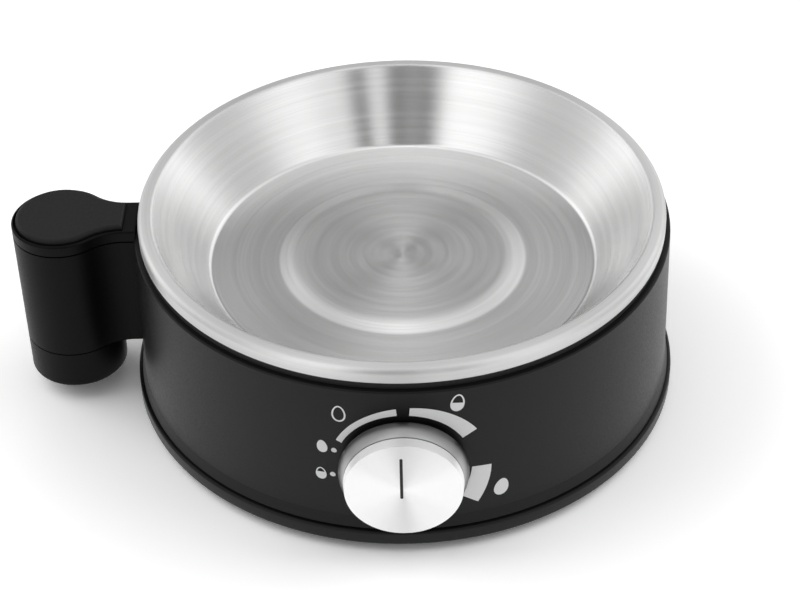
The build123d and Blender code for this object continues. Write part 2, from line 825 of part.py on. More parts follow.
pointer_length = pointer_top + pointer_bottom
pointer_middle = (pointer_top - pointer_bottom) / 2
with BuildPart() as knob_cap:
    with BuildSketch(dial_section):
        with BuildLine():
            Polyline(
                (0, knob_front_distance),
                (cap_radius - cap_seam_width, knob_front_distance),
                (cap_radius - cap_seam_width, knob_front_distance + cap_seam_height),
                (cap_radius, knob_front_distance + cap_seam_height),
                (cap_radius - cap_taper, cap_front_distance),
                (0, cap_front_distance),
                close=True,
            )
        make_face()
        face_corner = vertices().sort_by_distance((cap_radius - cap_taper, cap_front_distance))[0]
        fillet(face_corner, radius=cap_edge_round)
    revolve(axis=dial_axis)
    with BuildSketch(front_plane(knob_front_distance)):
        Circle(shaft_radius + end_gap)
    extrude(amount=shaft_end_in_cap + end_gap, mode=Mode.SUBTRACT)
    with BuildSketch(front_plane(cap_front_distance)):
        with Locations((-pointer_side, pointer_middle)):
            SlotOverall(pointer_length, pointer_width, rotation=90)
    extrude(amount=-pointer_depth, mode=Mode.SUBTRACT)
finish(knob_cap, "knob_cap")

with BuildPart() as knob_pointer:
    with BuildSketch(front_plane(cap_front_distance - pointer_depth)):
        with Locations((-pointer_side, pointer_middle)):
            SlotOverall(pointer_length, pointer_width, rotation=90)
    extrude(amount=pointer_depth - pointer_recess)
finish(knob_pointer, "knob_pointer")

# Strap that carries the tray's heat from the spreader to the back of the control
strap_z = spreader_under_z - strap_thickness
with BuildPart() as sensor_strap:
    with BuildSketch(side_plane(-strap_width / 2)):
        with BuildLine():
            Polyline(
                (-(spreader_radius - strap_contact), spreader_under_z),
                (-control_rear_distance, spreader_under_z),
                (-control_rear_distance, strap_z - strap_drop),
                (-control_rear_distance + strap_thickness, strap_z - strap_drop),
                (-control_rear_distance + strap_thickness, strap_z),
                (-(spreader_radius - strap_contact), strap_z),
                close=True,
            )
        make_face()
    extrude(amount=strap_width)
finish(sensor_strap, "sensor_strap")

# Blade terminals on the back of the control
with BuildPart() as control_blades:
    with BuildSketch(front_plane(control_rear_distance)):
        with Locations((-blade_spacing / 2, -blade_below_axis), (blade_spacing / 2, -blade_below_axis)):
            Rectangle(blade_thickness, blade_width)
    extrude(amount=-blade_length)
finish(control_blades, "control_blades")

# Cord gland: flange and tail outside, threaded tube through the wall, nut inside
with BuildPart() as cord_gland:
    with BuildSketch(back_plane(gland_inner_distance)):
        Circle(gland_tube_radius)
    extrude(amount=gland_spot_distance - gland_inner_distance)
    with BuildSketch(back_plane(gland_spot_distance)):
        Circle(gland_flange_radius)
    extrude(amount=gland_flange_thickness)
    with BuildSketch(back_plane(gland_spot_distance + gland_flange_thickness)):
        Circle(gland_tail_radius)
    extrude(amount=gland_tail_length)
    fillet(edges().filter_by(GeomType.CIRCLE).sort_by(Axis.Y)[-1], radius=gland_tail_round)
    with BuildSketch(back_plane(gland_inner_distance)):
        Circle(gland_inner_bore_radius)
    extrude(amount=gland_step_distance - gland_inner_distance, mode=Mode.SUBTRACT)
    with BuildSketch(back_plane(gland_step_distance)):
        Circle(gland_bore_radius)
    extrude(amount=gland_outer_distance - gland_step_distance, mode=Mode.SUBTRACT)
finish(cord_gland, "cord_gland")

with BuildPart() as gland_nut:
    with BuildSketch(back_plane(gland_pad_distance)):
        RegularPolygon(gland_nut_across_flats / 2, 6, major_radius=False)
        Circle(gland_tube_radius + thread_gap, mode=Mode.SUBTRACT)
    extrude(amount=-gland_nut_thickness)
finish(gland_nut, "gland_nut")

# Terminal block on two posts of the cover, with three brass barrels
block_bottom_z = cover_floor_z + block_post_height
barrel_z = block_bottom_z + block_height / 2
barrel_spots = [(-block_pitch, barrel_z), (0, barrel_z), (block_pitch, barrel_z)]
block_plane = Plane(origin=(0, block_y - block_depth / 2, 0), x_dir=(1, 0, 0), z_dir=(0, -1, 0))
with BuildPart() as terminal_block:
    with BuildSketch(block_plane):
        with Locations((0, barrel_z)):
            Rectangle(block_length, block_height)
        with Locations(*barrel_spots):
            Circle(barrel_radius + thread_gap, mode=Mode.SUBTRACT)
    extrude(amount=-block_depth)
finish(terminal_block, "terminal_block")

with BuildPart() as terminal_barrels:
    with BuildSketch(block_plane):
        with Locations(*barrel_spots):
            Circle(barrel_radius)
            Circle(barrel_bore_radius, mode=Mode.SUBTRACT)
    extrude(amount=-block_depth)
finish(terminal_barrels, "terminal_barrels")


def lead(name, points):
    """One insulated lead: straight runs joined by tangent arcs as large as the runs allow."""
    places = [Vector(*point) for point in points]
    radii = []
    for before, here, after in zip(places, places[1:], places[2:]):
        half_turn = radians((here - before).get_angle(after - here) / 2)
        shorter_run = min((here - before).length, (after - here).length)
        radii.append(lead_bend_share * shorter_run / tan(half_turn))
    print(name, "bend radii", [round(radius, 1) for radius in radii])
    with BuildPart() as tube:
        with BuildLine() as route:
            FilletPolyline(*places, radius=radii)
        with BuildSketch(route.line ^ 0):
            Circle(lead_radius)
        sweep(path=route.line)
    finish(tube, name)
    length = sum(edge.length for edge in route.line.edges())
    share = tube.part.volume / (length * pi * lead_radius**2)
    print(name, "length", round(length, 1), "volume as a share of section times length", round(share, 4))


def way(across, along, rise):
    """Place inside: X and Y as shares of the element's radius, height as a share of the room below it."""
    height = cover_floor_z + rise * (spreader_under_z - cover_floor_z)
    return (across * element_radius, along * element_radius, height)


# Internal leads: block to control, control to element, block to element, block to the spreader's earth
blade_z = knob_z - blade_below_axis
blade_end_y = -(control_rear_distance - blade_length)
block_front_y = block_y - block_depth / 2
lead_start_y = block_front_y + lead_insertion
lead_run_y = block_front_y - lead_straight
right_tip, left_tip = [end.offset(bead_length + pin_length).origin for end in element_ends]
right_run, left_run = [end.offset(bead_length + pin_length + lead_straight).origin for end in element_ends]

lead(
    "live_lead",
    [
        (-block_pitch, lead_start_y, barrel_z),
        (-block_pitch, lead_run_y, barrel_z),
        way(-0.53, 0.37, 0.27),
        way(-0.63, -0.32, 0.30),
        way(-0.47, -0.87, 0.43),
        (-blade_spacing / 2, blade_end_y + lead_straight, blade_z),
        (-blade_spacing / 2, blade_end_y, blade_z),
    ],
)
lead(
    "element_lead",
    [
        (blade_spacing / 2, blade_end_y, blade_z),
        (blade_spacing / 2, blade_end_y + lead_turn, blade_z),
        (blade_spacing / 2 - lead_turn / 2, blade_end_y + 1.5 * lead_turn, blade_z + lead_turn),
        tuple(right_run),
        tuple(right_tip),
    ],
)
lead(
    "neutral_lead",
    [
        (block_pitch, lead_start_y, barrel_z),
        (block_pitch, lead_run_y, barrel_z),
        way(0.37, 0.37, 0.32),
        way(0.21, -0.26, 0.46),
        way(-0.05, -0.79, 0.63),
        way(-0.05, -1.05, 0.77),
        tuple(left_run),
        tuple(left_tip),
    ],
)
lead(
    "earth_lead",
    [
        (0, lead_start_y, barrel_z),
        (0, lead_run_y, barrel_z),
        way(-0.08, 0.71, 0.41),
        way(-0.1, 0.61, 0.66),
        way(-0.1, 0.61, 1.0),
    ],
)

# Plan of the grip: a round column blended into the neck that meets the housing


def grip_plan(z, inner_x):
    """Sketch of the grip's outline at a height, reaching in to a given X."""
    with BuildSketch(Plane.XY.offset(z)) as plan:
        with Locations((grip_centre_x, grip_line_y)):
            Circle(grip_radius)
        with Locations(((grip_centre_x + inner_x) / 2, grip_line_y)):
            Rectangle(inner_x - grip_centre_x, 2 * neck_half_width)
        fillet(vertices().group_by(Axis.X)[0], radius=grip_blend_round)
    return plan.sketch


grip_reach_x = -(rim_radius + grip_top_reach)
with BuildPart() as grip_body:
    add(grip_plan(grip_foot_top_z, grip_reach_x))
    extrude(amount=grip_seam_z - grip_foot_top_z)
    add(housing_envelope.part, mode=Mode.SUBTRACT)
    with BuildSketch(Plane.XY.offset(grip_foot_top_z + grip_wall)):
        with Locations((grip_centre_x, grip_line_y)):
            Circle(grip_radius - grip_wall)
            Circle(grip_boss_radius, mode=Mode.SUBTRACT)
    extrude(amount=grip_boss_height, mode=Mode.SUBTRACT)
    with BuildSketch(Plane.XY.offset(grip_foot_top_z + grip_wall + grip_boss_height)):
        with Locations((grip_centre_x, grip_line_y)):
            Circle(grip_radius - grip_wall)
    extrude(amount=grip_seam_z - grip_foot_top_z, mode=Mode.SUBTRACT)
    with BuildSketch(Plane.XY.offset(grip_foot_top_z)):
        with Locations((grip_centre_x, grip_line_y)):
            Circle(screw_radius + thread_gap)
    extrude(amount=grip_boss_height, mode=Mode.SUBTRACT)
    with BuildSketch(side_plane(grip_pad_x - grip_screw_reach - grip_screw_end)):
        with Locations(*[(grip_line_y, z) for z in grip_screw_heights]):
            Circle(screw_radius + thread_gap)
    extrude(amount=grip_screw_reach, mode=Mode.SUBTRACT)
    groove_plan = grip_plan(grip_seam_z - grip_seam_groove, grip_reach_x)
    add(groove_plan - offset(groove_plan, -grip_seam_groove))
    extrude(amount=grip_seam_groove, mode=Mode.SUBTRACT)
finish(grip_body, "grip_body")

# Lower part of the grip: a cup screwed on from below
with BuildPart() as grip_foot:
    with BuildSketch(Plane.XY.offset(grip_bottom_z)):
        with Locations((grip_centre_x, grip_line_y)):
            Circle(grip_radius)
    extrude(amount=grip_foot_top_z - grip_bottom_z)
    fillet(edges().group_by(Axis.Z)[0], radius=grip_foot_round)
    with BuildSketch(Plane.XY.offset(grip_bottom_z + grip_wall)):
        with Locations((grip_centre_x, grip_line_y)):
            Circle(grip_radius - grip_wall)
            Circle(grip_foot_boss_radius, mode=Mode.SUBTRACT)
    extrude(amount=grip_foot_top_z - grip_bottom_z, mode=Mode.SUBTRACT)
    with BuildSketch(Plane.XY.offset(grip_foot_top_z - grip_foot_groove)):
        with Locations((grip_centre_x, grip_line_y)):
            Circle(2 * grip_radius)
            Circle(grip_radius - grip_foot_groove, mode=Mode.SUBTRACT)
    extrude(amount=grip_foot_groove, mode=Mode.SUBTRACT)
    with BuildSketch(Plane.XY.offset(grip_bottom_z)):
        with Locations((grip_centre_x, grip_line_y)):
            Circle(screw_radius + clearance_hole_gap)
    extrude(amount=grip_foot_top_z - grip_bottom_z, mode=Mode.SUBTRACT)
    with BuildSketch(Plane.XY.offset(grip_bottom_z)):
        with Locations((grip_centre_x, grip_line_y)):
            Circle(screw_head_radius + counterbore_gap)
    extrude(amount=grip_screw_sink, mode=Mode.SUBTRACT)
finish(grip_foot, "grip_foot")

pocket_floor_z = grip_top_z - pocket_depth
pocket_end_x = grip_reach_x - inlay_end

# Top of the grip: hooks over the housing's edge, plugs into the column and holds the inlay
with BuildPart() as grip_top:
    add(grip_plan(grip_seam_z, grip_reach_x))
    extrude(amount=grip_top_thickness)
    fillet(edges().group_by(Axis.Z)[-1], radius=grip_edge_round)
    add(housing_envelope.part, mode=Mode.SUBTRACT)
    with BuildSketch(Plane.XY.offset(grip_seam_z - grip_plug_height)):
        with Locations((grip_centre_x, grip_line_y)):
            Circle(grip_radius - grip_wall - side_gap)
            Circle(grip_radius - 2 * grip_wall - side_gap, mode=Mode.SUBTRACT)
    extrude(amount=grip_plug_height)
    with BuildSketch(Plane.XY.offset(rim_bottom_z - part_gap)):
        Circle(rim_radius + grip_top_reach)
    extrude(amount=grip_top_thickness, mode=Mode.SUBTRACT)
    add(offset(grip_plan(pocket_floor_z, pocket_end_x + pocket_margin), -pocket_margin))
    extrude(amount=pocket_depth, mode=Mode.SUBTRACT)
finish(grip_top, "grip_top")

# Pad that stands in the top's pocket, with an open groove round it except at its inner end
with BuildPart() as grip_inlay:
    add(offset(grip_plan(pocket_floor_z, pocket_end_x - seat_gap + inlay_margin), -inlay_margin))
    extrude(amount=pocket_depth + inlay_rise)
    fillet(edges().group_by(Axis.Z)[-1], radius=grip_inlay_round)
finish(grip_inlay, "grip_inlay")

# Screws of the grip: two from inside the housing, one from below
with BuildPart() as grip_screws:
    with BuildSketch(side_plane(grip_pad_x)):
        with Locations(*[(grip_line_y, z) for z in grip_screw_heights]):
            Circle(screw_head_radius)
    extrude(amount=screw_head_height)
    with BuildSketch(side_plane(grip_pad_x - grip_screw_reach)):
        with Locations(*[(grip_line_y, z) for z in grip_screw_heights]):
            Circle(screw_radius)
    extrude(amount=grip_screw_reach)
finish(grip_screws, "grip_screws")

foot_screw_top_z = grip_foot_top_z + grip_boss_height - grip_foot_screw_end
with BuildPart() as grip_foot_screw:
    with BuildSketch(Plane.XY.offset(grip_bottom_z + grip_screw_sink - screw_head_height)):
        with Locations((grip_centre_x, grip_line_y)):
            Circle(screw_head_radius)
    extrude(amount=screw_head_height)
    with BuildSketch(Plane.XY.offset(grip_bottom_z + grip_screw_sink)):
        with Locations((grip_centre_x, grip_line_y)):
            Circle(screw_radius)
    extrude(amount=foot_screw_top_z - grip_bottom_z - grip_screw_sink)
finish(grip_foot_screw, "grip_foot_screw")
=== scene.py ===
import json
import math

import bmesh
import bpy
from mathutils import Matrix, Vector

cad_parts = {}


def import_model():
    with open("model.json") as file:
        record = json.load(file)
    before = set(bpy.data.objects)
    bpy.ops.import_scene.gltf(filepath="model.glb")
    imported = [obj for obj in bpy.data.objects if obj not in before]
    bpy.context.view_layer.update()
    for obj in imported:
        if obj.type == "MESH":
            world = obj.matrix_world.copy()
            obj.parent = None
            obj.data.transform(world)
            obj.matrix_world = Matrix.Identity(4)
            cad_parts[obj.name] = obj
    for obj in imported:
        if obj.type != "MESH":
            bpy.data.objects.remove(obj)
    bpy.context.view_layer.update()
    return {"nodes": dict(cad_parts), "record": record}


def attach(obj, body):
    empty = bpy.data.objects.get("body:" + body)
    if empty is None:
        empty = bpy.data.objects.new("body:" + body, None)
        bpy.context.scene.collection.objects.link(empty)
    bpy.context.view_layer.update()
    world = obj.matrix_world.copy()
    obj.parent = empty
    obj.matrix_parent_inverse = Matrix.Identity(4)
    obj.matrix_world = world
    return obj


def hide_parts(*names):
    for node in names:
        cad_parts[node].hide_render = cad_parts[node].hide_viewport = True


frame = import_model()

nodes = frame["nodes"]
MM = 0.001

# Camera: a long lens looking down on the dial side, from just right of the dial's axis
CAMERA_PLACE = (0.0065, -0.532435, 0.453560)
CAMERA_RIGHT = (0.999839, 0.0000059, -0.017954)
CAMERA_UP = (0.014007, 0.625278, 0.780276)
CAMERA_LENS = 94.64
CAMERA_SENSOR = 36.0
CAMERA_CLIP = (0.05, 50.0)

# Sizes of the CAD in millimetres. Places on the dial are measured in front of the tray's axis.
KNOB_Z = 31.5
SKIRT_RADIUS = 19.2
SKIRT_FALL = 1.5
SKIRT_BACK = 85.39
SKIRT_FRONT = 90.09
FLANGE_RADIUS = 87.3
FLANGE_ROUND = 0.8
FLANGE_BOTTOM = 3.0
FLANGE_TOP = 7.9
WALL_TOP_Z, WALL_TOP_RADIUS = 60.5, 84.0
WALL_LOW_Z, WALL_LOW_RADIUS = 12.0, 85.1

# Sections of the tray's sheet as corners (radius, height), and the radius at each corner but the ends
TRAY_ABOVE = ((0, 46.1), (33.8, 46.1), (39.3, 45.3), (61.4, 45.3), (78.2, 67.4), (82.4, 67.05), (82.4, 62.7))
TRAY_ABOVE_ROUNDS = (25.0, 8.0, 2.0, 1.2, 1.7)
TRAY_BELOW = (
    (81.4, 62.7), (81.4, 66.133), (78.658, 66.362), (61.896, 44.3), (39.3, 44.3), (33.8, 45.1), (0, 45.1)
)
TRAY_BELOW_ROUNDS = (0.7, 0.2, 3.0, 8.0, 25.0)

# Turned meshes: points nearer than WELD in metres become one, a profile point nearer to the axis than
# ON_AXIS in millimetres is on it, and edges are sharp from an angle in radians, open ones always
WELD = 0.0000005
ON_AXIS = 0.001
SHARP_EDGE = 0.5
OPEN_EDGE = 3.0
FLANK_STEPS = 24

# Printed scale: stations of angle clockwise from the top of the dial, inner and outer radius
SCALE_BANDS = {
    "scale_soft": (
        (-63.5, 20.12, 22.0), (-50, 20.2, 22.1), (-40, 20.28, 22.21), (-30, 20.39, 22.37),
        (-20, 20.49, 22.63), (-10, 20.57, 22.95), (-4.6, 20.64, 23.1),
    ),
    "scale_medium": (
        (5.2, 20.64, 23.43), (12, 20.62, 23.69), (20, 20.6, 24.0), (30, 20.53, 24.31),
        (40, 20.43, 24.62), (50, 20.31, 24.93), (59, 20.26, 25.2),
    ),
    "scale_hard": (
        (94, 20.25, 26.2), (100, 20.22, 26.38), (110, 20.22, 26.63), (118, 20.25, 26.84),
        (125.3, 20.25, 27.02),
    ),
}
PRINT_LIFT = 0.06
PRINT_DEPTH = 0.04
PRINT_COLUMNS = 4
EGG_STEPS = 56
STROKE = 0.5
SMALL_STROKE = 0.4
EGG_TAPER = 0.13
DOT = 1.7

# Brushed and turned steel: highlights that spread across the circles of the brushing
TURNED = {"Metallic": 1.0, "Anisotropic": 0.9, "Anisotropic_Rotation": 0.25}

# Brushing of the tray: scale of the rings, how much they drift along the turn, and where in
# millimetres the duller rim begins and is in full
FINE_RINGS, FINE_DRIFT = 1600.0, 0.0008
BROAD_RINGS, BROAD_DRIFT = 400.0, 0.0015
FINE_SHARE = 0.6
GREY_FROM, GREY_TO = 0.25, 0.75
STEEL_DARK, STEEL_LIGHT = (0.69, 0.69, 0.687), (0.79, 0.79, 0.787)
STEEL_ROUGHNESS = (0.25, 0.27)
RIM_ROUGHER = 0.17
RIM_STARTS = (77.5, 78.5)

# The dial's cap and its plate
CAP_HAZE_SCALE = 300.0
CAP_DARK, CAP_LIGHT = (0.955, 0.955, 0.955), (0.98, 0.98, 0.98)
CAP_ROUGHNESS = (0.54, 0.57)
PLATE_HAZE_SCALE = 220.0
PLATE_HAZE = 0.06
PLATE_SPREAD = 0.05

# Plastic, cast metal and rubber: scales of their noise, spread of the roughness below and above its
# middle, and depths of the grain in metres
CLOUD_SCALE = 18.0
PLASTIC_SPREAD = (0.04, 0.06)
STAIN_SCALE = 60.0
CAST_SPREAD = (0.08, 0.1)
CAST_DEPTH, CAST_STRENGTH = 0.00003, 0.6
RUBBER_GRAIN = 900.0
RUBBER_LIGHTER = 1.5
RUBBER_ROUGHNESS = (0.62, 0.82)
RUBBER_DEPTH = 0.00002

# Floor: paper that is white to the eye; in reflections it carries painted light, a glow near the object and
# a colour that darkens away from it
FLOOR_HALF = 6.0
FLOOR_ROUGHNESS = 0.6
PAPER = (0.86, 0.86, 0.86)
PAPER_SEEN = (1.3, 1.3, 1.3)
TABLE_REACH = (0.2, 0.5)
TABLE_FAR = 0.12
PAINTED_GLOW = 0.5

# Soft boxes left and right of the object, in metres and watts
LAMP_PLACE = (0.7, 0.05, 0.75)
LAMP_AIM = (0, -0.05, 0)
LAMP_SIZE = 0.8
LAMP_POWER = 3.6

# Surroundings in reflections, the soft boxes and dark cards of the studio: a bearing in degrees from the
# dial's side towards +X, then the light from there at each of the heights in degrees
SURROUND_LEVEL = 0.55
STUDIO_HEIGHTS = (12, 30, 42, 55, 74)
STUDIO = (
    (-180, 0.67, 0.15, 0.28, 1.58, 1.6), (-175, 0.38, 0.08, 0.14, 1.56, 1.6),
    (-170, 0.14, 0.13, 0.33, 1.18, 1.47), (-165, 0.9, 0.58, 0.56, 0.66, 1.07),
    (-160, 1.26, 0.79, 0.8, 0.66, 0.97), (-155, 1.29, 1, 1.06, 0.89, 1.08),
    (-150, 1.15, 1.18, 1.32, 1.08, 1.23), (-140, 1.05, 1.45, 1.52, 1.25, 1.33),
    (-130, 1.17, 1.58, 1.53, 1.3, 1.36), (-120, 1.32, 1.52, 1.38, 1.18, 1.22),
    (-110, 1.13, 1.15, 1.03, 0.91, 0.98), (-100, 0.81, 0.81, 0.74, 0.71, 0.79),
    (-90, 0.74, 0.7, 0.64, 0.66, 0.76), (-80, 0.71, 0.69, 0.68, 0.74, 0.84),
    (-70, 0.79, 0.78, 0.8, 0.92, 1.03), (-60, 1.02, 1.05, 1.11, 1.21, 1.29),
    (-50, 1.27, 1.3, 1.33, 1.41, 1.46), (-40, 1.35, 1.38, 1.4, 1.47, 1.51),
    (-30, 1.34, 1.37, 1.44, 1.48, 1.46), (-25, 1.23, 1.28, 1.29, 1.2, 1.14),
    (-20, 0.57, 0.52, 0.45, 0.46, 0.5), (-15, 0.17, 0.12, 0.12, 0.18, 0.22),
    (-10, 0.31, 0.33, 0.34, 0.32, 0.31), (-5, 0.4, 0.42, 0.43, 0.39, 0.35),
    (0, 0.23, 0.21, 0.21, 0.22, 0.23), (5, 0.3, 0.23, 0.16, 0.2, 0.28),
    (10, 1.02, 1.1, 1.14, 1.04, 0.95), (15, 0.92, 1.01, 1.14, 1.12, 1.04),
    (20, 0.14, 0.04, 0.03, 0.21, 0.35), (25, 0.42, 0.38, 0.27, 0.28, 0.35),
    (30, 0.94, 1, 1.04, 0.98, 0.92), (40, 1.03, 1.01, 1.02, 1.1, 1.12),
    (50, 1.26, 1.26, 1.26, 1.26, 1.26), (60, 1.28, 1.28, 1.3, 1.29, 1.29),
    (70, 1.1, 1.12, 1.12, 1.11, 1.11), (80, 0.84, 0.83, 0.87, 0.91, 0.93),
    (90, 0.75, 0.73, 0.73, 0.76, 0.8), (100, 0.71, 0.71, 0.7, 0.7, 0.75),
    (110, 0.92, 0.85, 0.81, 0.78, 0.83), (120, 1.36, 1.29, 1.09, 0.96, 0.97),
    (130, 1.25, 1.44, 1.28, 1.11, 1.13), (140, 1.13, 1.4, 1.31, 1.12, 1.18),
    (150, 1.4, 1.38, 1.3, 1.07, 1.12), (155, 1.37, 1.2, 1.18, 1.01, 1.08),
    (160, 1.38, 1.04, 1.06, 0.96, 1.1), (165, 1.34, 0.95, 0.88, 0.95, 1.15),
    (170, 0.67, 0.57, 0.56, 1.02, 1.23), (175, 0.14, 0.06, 0.38, 1.31, 1.43),
)


# Node helpers

def add_node(tree, kind, **values):
    """A node with its properties and its unlinked sockets set."""
    node = tree.nodes.new(kind)
    for key, value in values.items():
        if hasattr(node, key):
            setattr(node, key, value)
        else:
            node.inputs[key.replace("_", " ")].default_value = value
    return node


def new_material(name, **values):
    """A material with its node tree and its shader, which takes the given values."""
    material = bpy.data.materials.new(name)
    material.use_nodes = True
    tree = material.node_tree
    tree.nodes.clear()
    output = add_node(tree, "ShaderNodeOutputMaterial")
    shader = add_node(tree, "ShaderNodeBsdfPrincipled", **values)
    tree.links.new(shader.outputs["BSDF"], output.inputs["Surface"])
    return material, tree, shader


def feed(tree, value, socket):
    """Give a socket another node's output, or a plain value."""
    if isinstance(value, bpy.types.NodeSocket):
        tree.links.new(value, socket)
    else:
        socket.default_value = value


def noise(tree, vector, scale, detail=3.0):
    """Fractal noise over a vector, as a value from 0 to 1."""
    node = add_node(tree, "ShaderNodeTexNoise", Scale=scale, Detail=detail)
    feed(tree, vector, node.inputs["Vector"])
    return node.outputs["Fac"]


def ramp(tree, value, low, high, from_low=0.3, from_high=0.7):
    """A value mapped from one range onto another, clamped."""
    node = add_node(
        tree, "ShaderNodeMapRange", From_Min=from_low, From_Max=from_high, To_Min=low, To_Max=high
    )
    feed(tree, value, node.inputs["Value"])
    return node.outputs["Result"]


def combine(tree, operation, first, second):
    """Two values joined by a sum, product or other operation."""
    node = add_node(tree, "ShaderNodeMath", operation=operation)
    feed(tree, first, node.inputs[0])
    feed(tree, second, node.inputs[1])
    return node.outputs[0]


def blend(tree, share, first, second):
    """A value that runs from the first to the second with a share."""
    node = add_node(tree, "ShaderNodeMix")
    feed(tree, share, node.inputs["Factor"])
    feed(tree, first, node.inputs[2])
    feed(tree, second, node.inputs[3])
    return node.outputs[0]


def tint(tree, share, first, second):
    """A colour that runs from the first to the second with a share."""
    node = add_node(tree, "ShaderNodeMix", data_type="RGBA")
    feed(tree, share, node.inputs["Factor"])
    for colour, socket in ((first, node.inputs[6]), (second, node.inputs[7])):
        feed(tree, (*colour, 1) if isinstance(colour, tuple) else colour, socket)
    return node.outputs[2]


def bump(tree, shader, height, distance, strength=1.0):
    """A bump of a height, with its real depth in metres."""
    node = add_node(tree, "ShaderNodeBump", Strength=strength, Distance=distance)
    feed(tree, height, node.inputs["Height"])
    feed(tree, node.outputs["Normal"], shader.inputs["Normal"])


def split(tree, vector):
    """The X, Y and Z of a vector."""
    node = add_node(tree, "ShaderNodeSeparateXYZ")
    feed(tree, vector, node.inputs[0])
    return node.outputs


def join(tree, x, y, z):
    """A vector of three values."""
    node = add_node(tree, "ShaderNodeCombineXYZ")
    for value, socket in zip((x, y, z), node.inputs):
        feed(tree, value, socket)
    return node.outputs[0]


def vector_node(tree, operation, vector):
    """A node that works on one vector."""
    node = add_node(tree, "ShaderNodeVectorMath", operation=operation)
    feed(tree, vector, node.inputs[0])
    return node


def place_vector(tree):
    """The place on the object in metres."""
    return add_node(tree, "ShaderNodeTexCoord").outputs["Object"]


def axis_distance(tree):
    """Distance from the tray's axis in metres."""
    place = split(tree, place_vector(tree))
    return vector_node(tree, "LENGTH", join(tree, place["X"], place["Y"], 0.0)).outputs["Value"]


def ring_vector(tree, drift):
    """Distance from the tray's axis plus height, with the direction as a small drift."""
    place = split(tree, place_vector(tree))
    flat = join(tree, place["X"], place["Y"], 0.0)
    way = split(tree, vector_node(tree, "NORMALIZE", flat).outputs[0])
    out = combine(tree, "ADD", vector_node(tree, "LENGTH", flat).outputs["Value"], place["Z"])
    drifts = (combine(tree, "MULTIPLY", way[axis], drift) for axis in ("X", "Y"))
    return join(tree, out, *drifts)


# Materials

def brushed_tray():
    """Stainless steel brushed in circles: fine rings of slightly different grey, and a duller rim."""
    material, tree, shader = new_material("brushed_tray", **TURNED)
    tangent = add_node(tree, "ShaderNodeTangent", direction_type="RADIAL", axis="Z")
    feed(tree, tangent.outputs[0], shader.inputs["Tangent"])
    fine = noise(tree, ring_vector(tree, FINE_DRIFT), FINE_RINGS, 1.0)
    broad = noise(tree, ring_vector(tree, BROAD_DRIFT), BROAD_RINGS, 0.0)
    both = combine(
        tree, "ADD",
        combine(tree, "MULTIPLY", fine, FINE_SHARE),
        combine(tree, "MULTIPLY", broad, 1.0 - FINE_SHARE),
    )
    grey = tint(tree, ramp(tree, both, 0.0, 1.0, GREY_FROM, GREY_TO), STEEL_DARK, STEEL_LIGHT)
    feed(tree, grey, shader.inputs["Base Color"])
    rim = ramp(tree, axis_distance(tree), 0.0, RIM_ROUGHER, *(radius * MM for radius in RIM_STARTS))
    dull = combine(tree, "ADD", ramp(tree, broad, *STEEL_ROUGHNESS), rim)
    feed(tree, dull, shader.inputs["Roughness"])
    return material


def turned_cap():
    """Bright cap turned on a lathe: very fine circles about the dial's axis."""
    material, tree, shader = new_material("turned_cap", **TURNED)
    place = split(tree, add_node(tree, "ShaderNodeNewGeometry").outputs["Position"])
    up = combine(tree, "SUBTRACT", place["Z"], KNOB_Z * MM)
    along = join(tree, up, 0.0, combine(tree, "MULTIPLY", place["X"], -1.0))
    feed(tree, vector_node(tree, "NORMALIZE", along).outputs[0], shader.inputs["Tangent"])
    haze = noise(tree, place_vector(tree), CAP_HAZE_SCALE)
    feed(tree, tint(tree, ramp(tree, haze, 0.0, 1.0), CAP_DARK, CAP_LIGHT), shader.inputs["Base Color"])
    feed(tree, ramp(tree, haze, *CAP_ROUGHNESS), shader.inputs["Roughness"])
    return material


def satin_plastic(name, dark, light, roughness, grain=1500.0, depth=0.00001, shine=0.5):
    """Moulded plastic with a fine spark-eroded grain and a faint cloudiness."""
    material, tree, shader = new_material(name, Specular_IOR_Level=shine)
    below, above = PLASTIC_SPREAD
    cloud = noise(tree, place_vector(tree), CLOUD_SCALE, 2.0)
    fine = noise(tree, place_vector(tree), grain, 2.0)
    feed(tree, tint(tree, ramp(tree, cloud, 0.0, 1.0), dark, light), shader.inputs["Base Color"])
    feed(tree, ramp(tree, fine, roughness - below, roughness + above), shader.inputs["Roughness"])
    bump(tree, shader, fine, depth)
    return material


def painted_shade_plate(name, dark, light, roughness):
    """Satin plate on the dial's skirt whose colour darkens from the cap towards the back edge: painted shade
    and a painted reflection of the black wall behind it.
    """
    material, tree, shader = new_material(name, Metallic=1.0)
    haze = noise(tree, place_vector(tree), PLATE_HAZE_SCALE, 2.0)
    depth = split(tree, place_vector(tree))["Y"]
    # Painted shade: the colour runs from light at the cap to dark at the back edge, next to the black wall
    front = ramp(tree, depth, 1.0, 0.0, -SKIRT_FRONT * MM, -SKIRT_BACK * MM)
    share = combine(
        tree, "ADD",
        combine(tree, "MULTIPLY", front, 1.0 - PLATE_HAZE),
        combine(tree, "MULTIPLY", haze, PLATE_HAZE),
    )
    feed(tree, tint(tree, share, dark, light), shader.inputs["Base Color"])
    feed(tree, ramp(tree, haze, roughness, roughness + PLATE_SPREAD), shader.inputs["Roughness"])
    return material


def cast_metal(name, dark, light, roughness, grain=700.0):
    """Bare or cast metal with a mottled, slightly rough skin."""
    material, tree, shader = new_material(name, Metallic=1.0)
    below, above = CAST_SPREAD
    mottle = noise(tree, place_vector(tree), grain, 4.0)
    stain = noise(tree, place_vector(tree), STAIN_SCALE)
    feed(tree, tint(tree, ramp(tree, stain, 0.0, 1.0), dark, light), shader.inputs["Base Color"])
    feed(tree, ramp(tree, mottle, roughness - below, roughness + above), shader.inputs["Roughness"])
    bump(tree, shader, mottle, CAST_DEPTH, CAST_STRENGTH)
    return material


